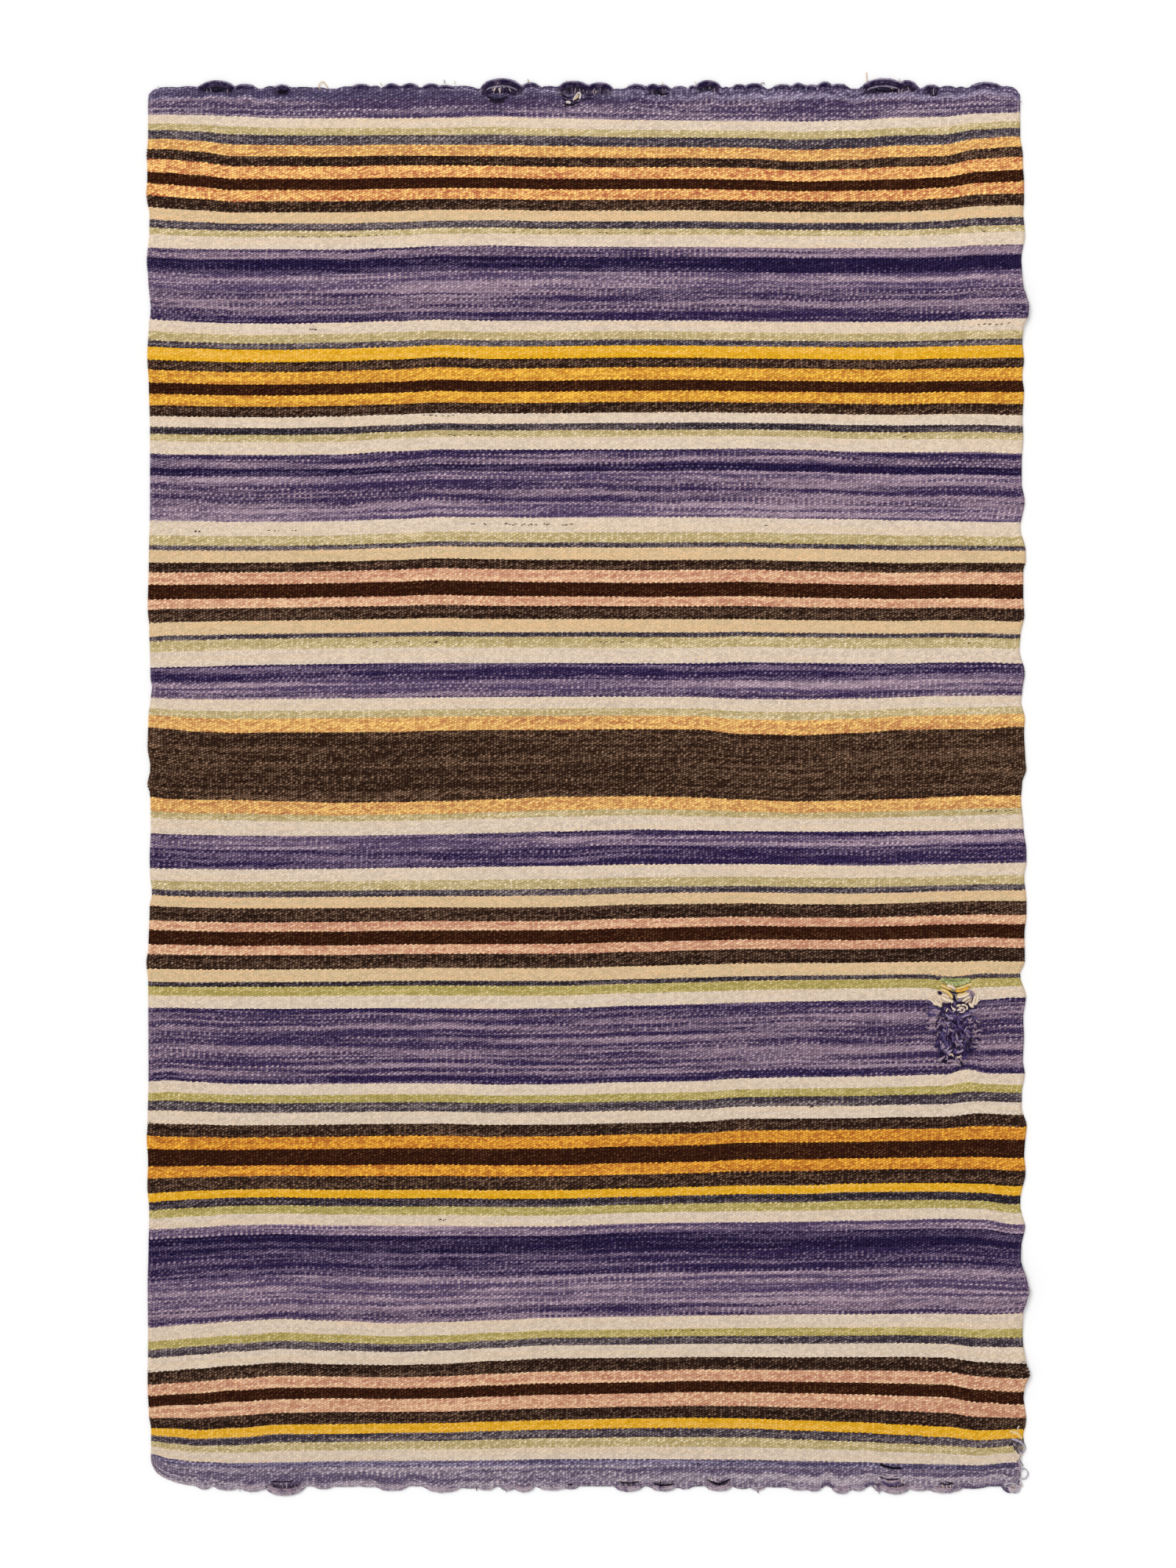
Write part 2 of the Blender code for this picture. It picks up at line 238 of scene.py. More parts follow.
def corner_drop(corner, distance):
    """How far an end draws back at a distance from the side."""
    along_end, along_side = CORNERS[corner]
    if distance >= along_end:
        return 0.0
    u = 1 - max(distance, 0.0) / along_end
    return along_side * (1 - (1 - u * u) ** 0.5)


def between(stations, values, at):
    """A value read off between the two nearest stations."""
    for i in range(1, len(stations)):
        if at <= stations[i]:
            return values[i - 1] + (values[i] - values[i - 1]) * smooth(
                (at - stations[i - 1]) / (stations[i] - stations[i - 1])
            )
    return values[-1]


def drift(across, down):
    """How far down a pick strays from its level."""
    before = DRIFT[0]
    for after in DRIFT[1:]:
        if down <= after[0]:
            t = min(max((down - before[0]) / (after[0] - before[0]), 0.0), 1.0)
            low, high = (between(DRIFT_ACROSS, row[1], across) for row in (before, after))
            return low + (high - low) * t
        before = after
    return 0.0


def hump(u):
    """A soft hill: 1 in the middle, 0 and level at its foot."""
    return (1 - u * u) ** 2 if abs(u) < 1 else 0.0


def lift(x, y):
    """How high the underside of the cloth is off the surface."""
    return sum(h * hump((x - cx) / hx) * hump((y - cy) / hy) for cx, hx, cy, hy, h in RIPPLES)


def mend_rise(x, y):
    """How much the darning adds to the cloth's thickness."""
    u, v = (x - MEND_X) / MEND_HALF_X, (y - MEND_Y) / MEND_HALF_Y
    return MEND_RISE * hump(min(math.hypot(u, v), 1.0))


def end_pull(table, corners, across, depth):
    """How far outward a pick is drawn at a depth in from one end: by slack bulges, less by the corners."""
    out, gap = bulge(table, across)
    if depth < SLACK:
        pull = out - gap * smooth((depth - 2) / (SLACK - 2))
    else:
        pull = (out - gap) * (1 - smooth((depth - SLACK) / BULGE_REACH))
    drop = corner_drop(corners[0], across) + corner_drop(corners[1], WIDTH - across)
    return pull - drop * (1 - smooth(depth / CORNER_REACH))


def place(across, down):
    """Where a spot of the cloth lies in x and y, in millimetres."""
    y = TOP - down - drift(across, down)
    y += end_pull(TOP_BULGES, ("top left", "top right"), across, down)
    y -= end_pull(BOTTOM_BULGES, ("bottom left", "bottom right"), across, LENGTH - down)
    for middle, level, half_across, half_down, shift in PUCKERS:
        y -= shift * hump((across - middle) / half_across) * hump((down - level) / half_down)
    x = LEFT + across
    x -= eased(LEFT_WAVES, TOP - y) * (1 - smooth(across / WAVE_REACH))
    x += eased(RIGHT_WAVES, TOP - y) * (1 - smooth((WIDTH - across) / WAVE_REACH))
    return x, y


def hollowness(across, down):
    """How bare the warps lie here, behind slack picks that stand away from the beaten cloth: 0 to 1."""
    table, depth = (TOP_BULGES, down) if down < LENGTH / 2 else (BOTTOM_BULGES, LENGTH - down)
    if not 2 < depth < SLACK + 3:
        return 0.0
    return smooth((bulge(table, across)[1] - 0.6) / 3) * smooth((SLACK + 3 - depth) / 3)


def painted_shade_at(across, down, x, y):
    """How much painted shade darkens the cloth, in the hollows behind the slack picks and under the mend's
    stitches: 0 to 1.
    """
    upper = math.hypot((x - MEND_X - 1) / 24, (y - MEND_Y - 28) / 18)
    lower = math.hypot((x - MEND_X) / 36, (y - MEND_Y + 15) / 50)
    return max(hollowness(across, down), 0.95 * hump(min(upper, 1)), 0.7 * hump(min(lower, 1)))


def top_level(across, down, x, y):
    """How high the cloth's upper face is: thin in the hollows, raised at the mend."""
    return lift(x, y) + THICKNESS * (1 - 0.7 * hollowness(across, down)) + mend_rise(x, y)


COLUMNS, ROWS, END_ROWS, END_DEPTH = 256, 168, 10, 26.0
RIM_ROUND, EDGE_INSET = 0.8, 0.8


def row_depth(share):
    """How far down the mesh's row is: close rows at the two ends, wide ones between."""
    rows = share * ROWS
    near = min(rows, ROWS - rows)
    middle = (LENGTH - 2 * END_DEPTH) / (ROWS - 2 * END_ROWS)
    end = EDGE_INSET + near * (END_DEPTH - EDGE_INSET) / END_ROWS
    depth = end if near < END_ROWS else END_DEPTH + (near - END_ROWS) * middle
    return depth if rows <= ROWS / 2 else LENGTH - depth


bm = bmesh.new()
bmesh.ops.create_grid(bm, x_segments=COLUMNS, y_segments=ROWS, size=0.5)
across_layer = bm.verts.layers.float.new("across")
down_layer = bm.verts.layers.float.new("down")
# A mesh attribute carries the painted shade in the hollows and under the mend.
painted_shade_layer = bm.verts.layers.float.new("painted_shade")
for vert in bm.verts:
    across, down = WIDTH * (vert.co.x + 0.5), row_depth(0.5 - vert.co.y)
    x, y = place(across, down)
    vert[across_layer], vert[down_layer], vert[painted_shade_layer] = across, down, painted_shade_at(across, down, x, y)
    vert.co = (x, y, lift(x, y))
upper = bmesh.ops.extrude_face_region(bm, geom=bm.faces[:], use_keep_orig=True)["geom"]
upper_verts = {v for v in upper if isinstance(v, bmesh.types.BMVert)}
for vert in upper_verts:
    vert.co.z = top_level(vert[across_layer], vert[down_layer], vert.co.x, vert.co.y)
rim = [e for e in bm.edges if (e.verts[0] in upper_verts) != (e.verts[1] in upper_verts)]
rounded = bmesh.ops.subdivide_edges(bm, edges=rim, cuts=1)["geom_inner"]
bmesh.ops.recalc_face_normals(bm, faces=bm.faces[:])
for vert in (v for v in rounded if isinstance(v, bmesh.types.BMVert)):
    outward = vert.normal.copy()
    outward.z = 0
    if outward.length > 0:
        vert.co += outward.normalized() * RIM_ROUND
weave_map = bm.loops.layers.uv.new("weave")
for face in bm.faces:
    for loop in face.loops:
        loop[weave_map].uv = (loop.vert[across_layer], loop.vert[down_layer])
for vert in bm.verts:
    vert.co *= MM
bm.verts.layers.float.remove(bm.verts.layers.float["across"])
bm.verts.layers.float.remove(bm.verts.layers.float["down"])
cloth = bpy.data.objects.new("cloth", bpy.data.meshes.new("cloth"))
bm.to_mesh(cloth.data)
bm.free()
cloth.data.shade_smooth()
bpy.context.scene.collection.objects.link(cloth)

# The wools, as they look in the cloth: (main colour, colour of the flecks spun in, how much of it is flecks,
# and how far they change from bump to bump, 1, instead of running along the yarn, 0).
WOOLS = {
    "shaded": ((44, 36, 56), (70, 58, 84), 0.3, 0.3),
    "night slate": ((90, 80, 110), (160, 148, 170), 0.46, 0.2),
    "dusk": ((88, 72, 104), (180, 160, 172), 0.47, 0.2),
    "cream": ((232, 214, 195), (223, 200, 172), 0.38, 0.3),
    "olive": ((200, 181, 132), (226, 207, 174), 0.35, 0.5),
    "slate": ((74, 64, 74), (146, 132, 130), 0.42, 0.4),
    "sand": ((228, 203, 164), (224, 182, 140), 0.37, 0.5),
    "yellow": ((238, 184, 44), (232, 186, 98), 0.35, 0.4),
    "gold": ((208, 138, 64), (240, 190, 74), 0.58, 0.6),
    "peach gold": ((208, 142, 98), (242, 202, 122), 0.58, 0.65),
    "amber": ((202, 124, 58), (240, 178, 62), 0.58, 0.6),
    "apricot": ((208, 124, 90), (248, 206, 126), 0.56, 0.7),
    "salmon": ((212, 152, 126), (235, 199, 161), 0.55, 0.5),
    "charcoal": ((54, 34, 25), (118, 91, 73), 0.37, 0.5),
    "peat": ((60, 39, 27), (128, 99, 78), 0.39, 0.45),
    "umber": ((62, 30, 14), (92, 60, 34), 0.15, 0.5),
    "plum": ((42, 30, 68), (108, 92, 120), 0.28, 0.15),
    "mulberry": ((56, 42, 82), (142, 122, 144), 0.38, 0.15),
    "iron": ((56, 48, 56), (122, 108, 110), 0.4, 0.4),
    "moss olive": ((190, 174, 106), (212, 192, 142), 0.35, 0.5),
    "purple": ((70, 54, 92), (164, 142, 156), 0.52, 0.15),
    "lavender": ((98, 80, 114), (178, 156, 168), 0.5, 0.15),
    "grape mist": ((114, 100, 126), (188, 174, 182), 0.5, 0.2),
}

# The bands in the order of weaving from the top end: (wool, width).
BANDS = (
    ("night slate", 15), ("dusk", 22), ("cream", 13), ("olive", 9), ("slate", 13.5), ("peach gold", 14),
    ("charcoal", 13), ("apricot", 14.5), ("umber", 14), ("apricot", 15), ("charcoal", 13.5),
    ("sand", 15.5), ("slate", 9), ("olive", 8.5), ("cream", 15), ("purple", 12), ("plum", 20),
    ("lavender", 20), ("purple", 30), ("mulberry", 11.5), ("cream", 14.5), ("olive", 10), ("slate", 9),
    ("yellow", 15), ("charcoal", 12.5), ("gold", 15.5), ("umber", 15.5), ("gold", 14.5),
    ("charcoal", 13.5), ("cream", 13.5), ("iron", 8.5), ("olive", 9.5), ("cream", 17), ("mulberry", 6),
    ("purple", 12), ("plum", 9), ("lavender", 11), ("purple", 30), ("lavender", 16.5), ("cream", 17.5),
    ("olive", 13), ("slate", 5), ("sand", 15.5), ("charcoal", 13), ("salmon", 14.5), ("umber", 19),
    ("salmon", 12), ("charcoal", 15.5), ("sand", 17.5), ("slate", 6), ("olive", 13), ("cream", 19.5),
    ("mulberry", 22.5), ("lavender", 15), ("purple", 7.5), ("cream", 15.5), ("olive", 10),
    ("peach gold", 18), ("peat", 89), ("peach gold", 16), ("olive", 9), ("cream", 18), ("mulberry", 5),
    ("lavender", 12), ("mulberry", 24), ("cream", 17), ("olive", 11), ("slate", 7.5), ("sand", 15.5),
    ("charcoal", 17), ("salmon", 12), ("umber", 18), ("salmon", 13), ("charcoal", 18), ("sand", 15),
    ("iron", 7), ("moss olive", 11), ("cream", 17), ("mulberry", 6), ("purple", 80), ("mulberry", 10),
    ("cream", 13), ("moss olive", 11), ("slate", 12), ("cream", 14), ("charcoal", 17), ("amber", 15),
    ("umber", 21.5), ("amber", 13.5), ("charcoal", 16.5), ("yellow", 11.5), ("iron", 10),
    ("moss olive", 10), ("cream", 14), ("lavender", 13), ("plum", 22), ("mulberry", 29),
    ("lavender", 40), ("purple", 18.5), ("cream", 16.5), ("moss olive", 11), ("slate", 10),
    ("cream", 17), ("charcoal", 16), ("salmon", 14), ("umber", 15), ("salmon", 16), ("charcoal", 16),
    ("yellow", 11.5), ("slate", 12), ("olive", 9.5), ("cream", 15), ("night slate", 7),
    ("grape mist", 30),
)
BANDS_PER_RAMP = 28
LIGHTING = 1.12  # how much brighter than its own colour the light shows a surface
PAINTED_FALLOFF = (1.045, 0.9)  # painted shade: the cloth is drawn darker towards the lower end, where the light falls off


def dyed(colour, alpha=1.0):
    """A colour given as it looks, 0 to 255, as the linear colour that shows so in this light."""
    channels = [c / 255 for c in colour]
    linear = [c / 12.92 if c <= 0.04045 else ((c + 0.055) / 1.055) ** 2.4 for c in channels]
    return (*(c / LIGHTING for c in linear), alpha)


class Value:
    """What a node gives out. Sums written with it become maths nodes of the same tree."""

    def __init__(self, socket):
        self.socket = socket
        self.tree = socket.id_data

    def calc(self, operation, *others):
        return first_of(self.tree, "ShaderNodeMath", (self, *others), operation=operation)

    def __add__(self, other):
        return self.calc("ADD", other)

    def __sub__(self, other):
        return self.calc("SUBTRACT", other)

    def __mul__(self, other):
        return self.calc("MULTIPLY", other)

    def __truediv__(self, other):
        return self.calc("DIVIDE", other)

    def ranged(self, low, high, to_low=0.0, to_high=1.0):
        return first_of(self.tree, "ShaderNodeMapRange", (self, low, high, to_low, to_high))


def add_node(tree, kind, inputs=(), **settings):
    """A new node with its settings, fed with what other nodes give out or with numbers."""
    node = tree.nodes.new(kind)
    for name, setting in settings.items():
        setattr(node, name, setting)
    for socket, value in zip(node.inputs, inputs):
        if isinstance(value, Value):
            tree.links.new(value.socket, socket)
        elif value is not None:
            socket.default_value = value
    return node


def given(node):
    """Everything that a node gives out."""
    return [Value(socket) for socket in node.outputs if socket.type != "CUSTOM"]


def first_of(tree, kind, inputs=(), **settings):
    """The first thing that a new node gives out."""
    return given(add_node(tree, kind, inputs, **settings))[0]


def feed(node, **values):
    """Links or numbers for a node's inputs, by name."""
    for name, value in values.items():
        socket = node.inputs[name.replace("_", " ")]
        if isinstance(value, Value):
            node.id_data.links.new(value.socket, socket)
        else:
            socket.default_value = value


def pair(x, y, z=0.0):
    return first_of(x.tree, "ShaderNodeCombineXYZ", (x, y, z))


def noise(vector, scale=1.0, detail=1.0, dimensions="2D"):
    node = add_node(vector.tree, "ShaderNodeTexNoise", noise_dimensions=dimensions)
    feed(node, Vector=vector, Scale=scale, Detail=detail)
    return given(node)[0]


def mixed(share, a, b):
    """Between two numbers."""
    return first_of(a.tree, "ShaderNodeMix", (share, None, a, b), data_type="FLOAT")


def mixed_colour(share, a, b):
    node = add_node(share.tree, "ShaderNodeMix", (share, *[None] * 5, a, b), data_type="RGBA")
    return Value(node.outputs[2])


def wool_surface(tree, colour, height, strength, distance):
    """Matt wool of that colour on a material's own shader, with its weave or twist raised."""
    bump = add_node(tree, "ShaderNodeBump")
    feed(bump, Strength=strength, Distance=distance, Height=height)
    shader = tree.nodes["Principled BSDF"]
    feed(shader, Base_Color=colour, Normal=given(bump)[0], Roughness=0.95, Specular_IOR_Level=0.08)


def new_group(name, inputs, outputs):
    """An empty node group with its named inputs and outputs."""
    tree = bpy.data.node_groups.new(name, "ShaderNodeTree")
    for direction, sockets in (("INPUT", inputs), ("OUTPUT", outputs)):
        for label, kind in sockets:
            tree.interface.new_socket(label, in_out=direction, socket_type="NodeSocket" + kind)
    return tree, tree.nodes.new("NodeGroupInput"), tree.nodes.new("NodeGroupOutput")


# The colour chart: the wool and its flecks at any pick.
chart, asked, told = new_group(
    "band chart", [("Down", "Float")],
    [("Wool", "Color"), ("Flecks", "Color"), ("Share", "Float"), ("Speckle", "Float")],
)
(down,) = given(asked)
starts = [sum(width for _, width in BANDS[:i]) for i in range(len(BANDS) + 1)]
found = None
for first in range(0, len(BANDS), BANDS_PER_RAMP):
    part = BANDS[first:first + BANDS_PER_RAMP]
    begin, end = starts[first], starts[first + len(part)]
    along = down.ranged(begin, end)
    read = [[], []]
    for kind in (0, 1):
        ramp = add_node(chart, "ShaderNodeValToRGB", (along,))
        ramp.color_ramp.interpolation = "CONSTANT"
        ramp.color_ramp.elements.remove(ramp.color_ramp.elements[1])
        for i, (wool, _) in enumerate(part):
            position = (starts[first + i] - begin) / (end - begin)
            stop = ramp.color_ramp.elements[0] if i == 0 else ramp.color_ramp.elements.new(position)
            stop.color = dyed(WOOLS[wool][kind], WOOLS[wool][2 + kind])
        for value, listed in zip(given(ramp), read):
            listed.append(value)
    if found is None:
        found = read
        continue
    past = down.calc("GREATER_THAN", begin)
    found = [[mix(past, a, b) for a, b in zip(before, after)]
             for mix, before, after in zip((mixed_colour, mixed), found, read)]
(wool, flecks), (share, speckle) = found
feed(told, Wool=wool, Flecks=flecks, Share=share, Speckle=speckle)

# The weave: each pick shows as a row of leaning ovals over every other warp, the next row between them.
WARP_PAIR, PICK_PAIR = 7.1, 2.9
OVAL_LENGTH, OVAL_HEIGHT, OVAL_LEAN, OVAL_SHIFT = 2.4, 1.22, 0.55, 0.5
# Painted shade: the dark colour that the hollows and the ground under the mend are drawn in.
PAINTED_SHADE_COLOUR = (32, 24, 42)
WANDER, SWAY = 5.0, 5.0  # how far the picks stray down and the warps across
TEETH = 0.45  # how much a band's border follows its ovals rather than the straight pick
weave, asked, told = new_group(
    "weft-faced weave", [("Across", "Float"), ("Down", "Float")],
    [("Height", "Float"), ("Pick", "Float"), ("Chance", "Float"), ("Streak", "Float")],
)
across, down = given(asked)
spot = pair(across, down)
wander = (noise(spot, 1 / 80, 3.0) - 0.5) * WANDER
uneven_beat = noise(pair(across / 110.0, down / 5.0))
wander = wander + uneven_beat.ranged(0.2, 0.8, -1.0, 1.0)
sway = (noise(spot, 1 / 30, 4.0) - 0.5) * SWAY
column = (across + sway) / WARP_PAIR
row = (down + wander) / PICK_PAIR
ovals = []
for half_step in (0.0, 0.5):
    stepped = column + half_step
    u = stepped.calc("FRACT") - 0.5
    level = row + half_step + u * OVAL_LEAN
    number = level.calc("FLOOR")
    chance = first_of(weave, "ShaderNodeTexWhiteNoise", (pair(stepped.calc("FLOOR"), number, half_step),))
    v = level.calc("FRACT") - 0.5 + (chance - 0.5) * OVAL_SHIFT
    across_oval = (u * (WARP_PAIR / OVAL_LENGTH)).calc("ABSOLUTE").calc("POWER", 2.0)
    down_oval = (v * (PICK_PAIR / OVAL_HEIGHT)).calc("ABSOLUTE").calc("POWER", 2.0)
    ovals.append((across_oval + down_oval, (number + (0.5 - half_step)) * PICK_PAIR, chance))
nearer = ovals[1][0].calc("LESS_THAN", ovals[0][0])
far, pick, chance = (mixed(nearer, a, b) for a, b in zip(*ovals))
roundness = first_of(weave, "ShaderNodeMath", (1.0, far), operation="SUBTRACT", use_clamp=True)
rib = (column * (4 * math.pi)).calc("COSINE")
height = roundness.calc("POWER", 0.7) * chance.ranged(0.0, 1.0, 0.6, 1.0) * rib.ranged(-1.0, 1.0, 0.62, 1.0)
# The dye runs in streaks along the picks: long and thin, longer and broad, and short ones.
long_run, broad_run, short_run = (
    noise(pair(across / length, pick / thickness), 1.0, detail)
    for length, thickness, detail in ((230.0, 2.4, 1.0), (640.0, 7.0, 1.0), (45.0, 2.0, 0.0))
)
dark_line = noise(pair(across / 420.0, pick / 1.6, 5.0)).ranged(0.63, 0.72, 0.0, 0.4)
streak = (long_run + broad_run + short_run * 0.3).ranged(0.91, 1.4) - dark_line
pick = mixed(TEETH, down, pick - wander)
feed(told, Height=height, Pick=pick, Chance=chance, Streak=streak)

banded_wool = bpy.data.materials.new("banded wool cloth")
banded_wool.use_nodes = True
tree = banded_wool.node_tree
spot = first_of(tree, "ShaderNodeUVMap", uv_map="weave")
across, down, _ = given(add_node(tree, "ShaderNodeSeparateXYZ", (spot,)))
height, pick, chance, streak = given(add_node(tree, "ShaderNodeGroup", (across, down), node_tree=weave))
wool, flecks, share, speckle = given(add_node(tree, "ShaderNodeGroup", (pick,), node_tree=chart))
dye_and_highlight = mixed(speckle, streak, chance) * speckle.ranged(0.0, 1.0, 0.78, 0.48)
# Painted highlight: the tops of the bumps take more of the lighter flecks.
dye_and_highlight = dye_and_highlight + height * speckle.ranged(0.0, 1.0, 0.12, 0.62)
wool = mixed_colour((dye_and_highlight + share - 0.98).ranged(-0.28, 0.28), wool, flecks)
# Painted shade and highlight: darker and deeper in the gaps between the bumps, lighter on their tops.
wool = first_of(tree, "ShaderNodeGamma", (wool, height.ranged(0.0, 0.8, 1.34, 0.82)))
fibre_lie = add_node(tree, "ShaderNodeMapping", (spot,))
feed(fibre_lie, Rotation=(0, 0, math.radians(18)), Scale=(0.45, 1.1, 1.0))
fibres = noise(given(fibre_lie)[0], 1.0, 3.0).ranged(0.3, 0.7, -0.17, 0.17)
shade = chance * 0.28 + 0.82 + streak * 0.1 + fibres
shaded = add_node(tree, "ShaderNodeHueSaturation")
# Painted shade: the colour is darker towards the lower end, where the light falls off.
feed(shaded, Value=shade * down.ranged(0.0, LENGTH, *PAINTED_FALLOFF), Color=wool)
# Painted shade in the hollows and under the mend, read from the mesh attribute.
painted_shade = Value(add_node(tree, "ShaderNodeAttribute", attribute_name="painted_shade").outputs["Fac"])
coloured = mixed_colour(painted_shade * 0.78, given(shaded)[0], dyed(PAINTED_SHADE_COLOUR))
wool_surface(tree, coloured, height, 0.55, 0.9 * MM)
cloth.data.materials.append(banded_wool)
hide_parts("blanket")
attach(cloth, "root")

# The selvedges.
# At each side the picks turn back round the outermost warp, so the edge is a close row of small rounded
# turns of the same wools, one to each pair of picks.
TURN_PITCH = 3.4
PLY_PITCH = 2.3

# Loose or lying yarn: how its two plies twist round each other, and how its dye is mottled.
handspun, asked, told = new_group(
    "handspun yarn", [("Place", "Vector"), ("Share", "Float")], [("Height", "Float"), ("Mottle", "Float")]
)
place_in_yarn, share = given(asked)
to_mm = (1 / MM, 1 / MM, 1 / MM)
yarn_mm = first_of(handspun, "ShaderNodeVectorMath", (place_in_yarn, to_mm), operation="MULTIPLY")
across_ply = add_node(handspun, "ShaderNodeVectorMath", (yarn_mm, (0.8, 0.5, 0.6)), operation="DOT_PRODUCT")
uneven = noise(yarn_mm, 0.16, 2.0, "3D")
phase = Value(across_ply.outputs["Value"]) + uneven * 9.0
ply = (phase * (2 * math.pi / PLY_PITCH)).calc("SINE")
mottle = (uneven + share - 0.9 + ply * 0.04).ranged(-0.15, 0.15)
fuzz = noise(yarn_mm, 0.9, 3.0, "3D").ranged(0.3, 0.7, -1.0, 1.0)
feed(told, Height=ply * 0.3 + fuzz, Mottle=mottle)


def yarn_of(wool):
    """The material of a lying yarn of that wool, made once."""
    name = f"{wool} yarn"
    if name in bpy.data.materials:
        return bpy.data.materials[name]
    main, flecks, share, _ = WOOLS[wool]
    material = bpy.data.materials.new(name)
    material.use_nodes = True
    tree = material.node_tree
    lie = Value(tree.nodes.new("ShaderNodeTexCoord").outputs["Object"])
    height, mottle = given(add_node(tree, "ShaderNodeGroup", (lie, share), node_tree=handspun))
    colour = mixed_colour(mottle, dyed(main), dyed(flecks))
    # Painted shade and highlight: darker in the grooves between the plies, lighter on their crests.
    colour = first_of(tree, "ShaderNodeGamma", (colour, height.ranged(-1.2, 1.2, 1.35, 0.8)))
    wool_surface(tree, colour, height, 0.4, 0.4 * MM)
    return material


def lay_yarns(name, yarns):
    """One piece of many yarns: each is its wool and its points, (x, y, z, radius) in millimetres."""
    wools = sorted({wool for wool, _ in yarns})
    lines = bpy.data.curves.new(name, "CURVE")
    lines.dimensions = "3D"
    lines.bevel_depth = MM
    lines.bevel_resolution = 1
    lines.use_fill_caps = True
    for wool in wools:
        lines.materials.append(yarn_of(wool))
    for wool, points in yarns:
        line = lines.splines.new("POLY")
        line.points.add(len(points) - 1)
        line.use_smooth = True
        line.material_index = wools.index(wool)
        for point, (x, y, z, radius) in zip(line.points, points):
            point.co = (x * MM, y * MM, z * MM, 1)
            point.radius = radius
    drawn = bpy.data.objects.new(name, lines)
    piece = bpy.data.objects.new(name, bpy.data.meshes.new_from_object(drawn))
    bpy.data.objects.remove(drawn)
    piece.name = name
    bpy.context.scene.collection.objects.link(piece)
    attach(piece, "root")
    return piece


def wool_at(down):
    """The wool of the pick at that depth."""
    for wool, width in BANDS:
        down -= width
        if down < 0:
            return wool
    return BANDS[-1][0]


for name, side, out in (("left_selvedge", 0, -1), ("right_selvedge", WIDTH, 1)):
    turns = []
    for i in range(int((LENGTH - 4) / TURN_PITCH)):
        down = 3 + i * TURN_PITCH
        x, y = place(side, down)
        z = lift(x, y)
        across_turn = [(-4.0, 2.2, 0.9), (-1.4, 1.9, 1.35), (0.0, 1.6, 1.3), (0.9, 1.5, 0.8)]
        turns.append((wool_at(down), [(x + out * dx, y, z + dz, r) for dx, dz, r in across_turn]))
    lay_yarns(name, turns)


# The slack picks at the two ends.
# The last picks hold nothing beyond them, so between drawn-in warps they bulge out as loose arcs of yarn,
# lying two to five abreast; behind the widest the warps show bare in a hollow, its shade painted dark.
ARC_STEP, ARC_SPACING, ARC_RADIUS, LEAST_ARC = 2.0, 2.2, 1.3, 4.5
ARC_HEIGHT, ARC_TUCK = 2.3, 0.14  # over the surface, and the share of each arc that dips at its ends
BULGE_PER_ARC = 3.6
WIDE_GAP = 0.3  # from this share on, a bulge's warps show bare behind it
PICTURE_MIDDLE = (750.0, 1004.0)
chance = random.Random(7)


def end_point(end, across, depth):
    """A point at a depth in from one end, its outermost pick's bulge kept whole."""
    table, corners, y, inward = END_LINES[end]
    drop = corner_drop(corners[0], across) + corner_drop(corners[1], WIDTH - across)
    return LEFT + across, y - inward * (bulge(table, across)[0] - drop - depth)


END_LINES = {
    "top": (TOP_BULGES, ("top left", "top right"), TOP, -1),
    "bottom": (BOTTOM_BULGES, ("bottom left", "bottom right"), TOP - LENGTH, 1),
}


def through(route, steps=3):
    """A smooth line through a route's points, in that many steps from each to the next."""
    line = []
    for i in range(len(route) - 1):
        a, b, c, d = (route[min(max(i + k, 0), len(route) - 1)] for k in (-1, 0, 1, 2))
        for step in range(steps):
            t = step / steps
            line.append([
                0.5 * (2 * q + (r - p) * t + (2 * p - 5 * q + 4 * r - s) * t * t
                       + (3 * q - p - 3 * r + s) * t ** 3)
                for p, q, r, s in zip(a, b, c, d)
            ])
    return [*line, route[-1]]


def from_picture(px, py):
    """X and y of a place given in the picture's millimetres, from its upper left corner."""
    return px - PICTURE_MIDDLE[0], PICTURE_MIDDLE[1] - py


